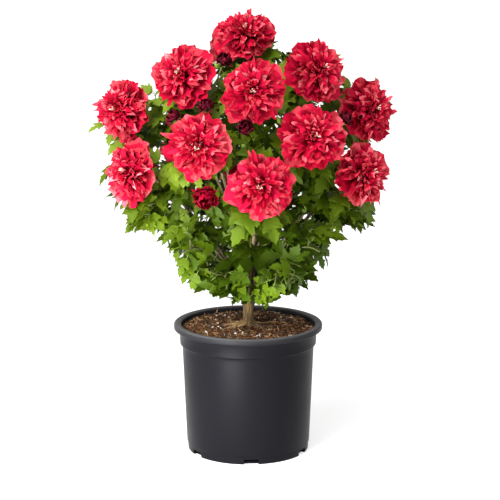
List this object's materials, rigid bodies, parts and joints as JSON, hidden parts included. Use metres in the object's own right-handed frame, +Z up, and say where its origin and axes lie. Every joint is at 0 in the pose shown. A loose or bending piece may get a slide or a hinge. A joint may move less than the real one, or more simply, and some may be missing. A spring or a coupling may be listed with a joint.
{
  "type": "potted hibiscus shrub",
  "caption": "Bushy hibiscus shrub with lobed leaves and large double red blooms on arching stems, standing in a round tapered nursery pot of bark mix.",
  "frame": {"origin": "centre of the pot's flat underside", "axes": "+Z up, -Y towards the front, +X to the right seen from the front"},
  "size_m": [0.4504, 0.4391, 0.6825],
  "materials": {
    "pot_plastic": "satin",
    "potting_mix": "matte",
    "bark": "matte",
    "leaf": "matte",
    "petal": "matte"
  },
  "bodies": {
    "root": {"pot": "pot_plastic", "soil": "potting_mix", "trunk": "bark", "bough_centre_back": "bark", "bough_crest": "bark", "bough_crest_back": "bark", "bough_low_back_1": "bark", "bough_low_back_2": "bark", "bough_low_back_3": "bark", "bough_low_front": "bark", "bough_low_left": "bark", "bough_low_right": "bark", "bough_middle_back_1": "bark", "bough_middle_back_2": "bark", "bough_middle_left": "bark", "bough_middle_right": "bark", "bough_side_left": "bark", "bough_side_right": "bark", "bough_upper_back_1": "bark", "bough_upper_back_2": "bark", "bough_upper_front": "bark", "bough_upper_left": "bark", "bough_upper_right": "bark", "foliage_centre_back": "petal", "foliage_crest": "petal", "foliage_crest_back": "petal", "foliage_low_back_1": "petal", "foliage_low_back_2": "petal", "foliage_low_back_3": "petal", "foliage_low_front": "petal", "foliage_low_left": "petal", "foliage_low_right": "petal", "foliage_middle_back_1": "petal", "foliage_middle_back_2": "petal", "foliage_middle_left": "petal", "foliage_middle_right": "petal", "foliage_side_left": "petal", "foliage_side_right": "petal", "foliage_skirt_1": "leaf", "foliage_skirt_10": "leaf", "foliage_skirt_2": "leaf", "foliage_skirt_3": "leaf", "foliage_skirt_4": "leaf", "foliage_skirt_5": "leaf", "foliage_skirt_6": "leaf", "foliage_skirt_7": "leaf", "foliage_skirt_8": "leaf", "foliage_skirt_9": "leaf", "foliage_upper_back_1": "petal", "foliage_upper_back_2": "petal", "foliage_upper_front": "petal", "foliage_upper_left": "petal", "foliage_upper_right": "petal"}
  },
  "joints": []
}
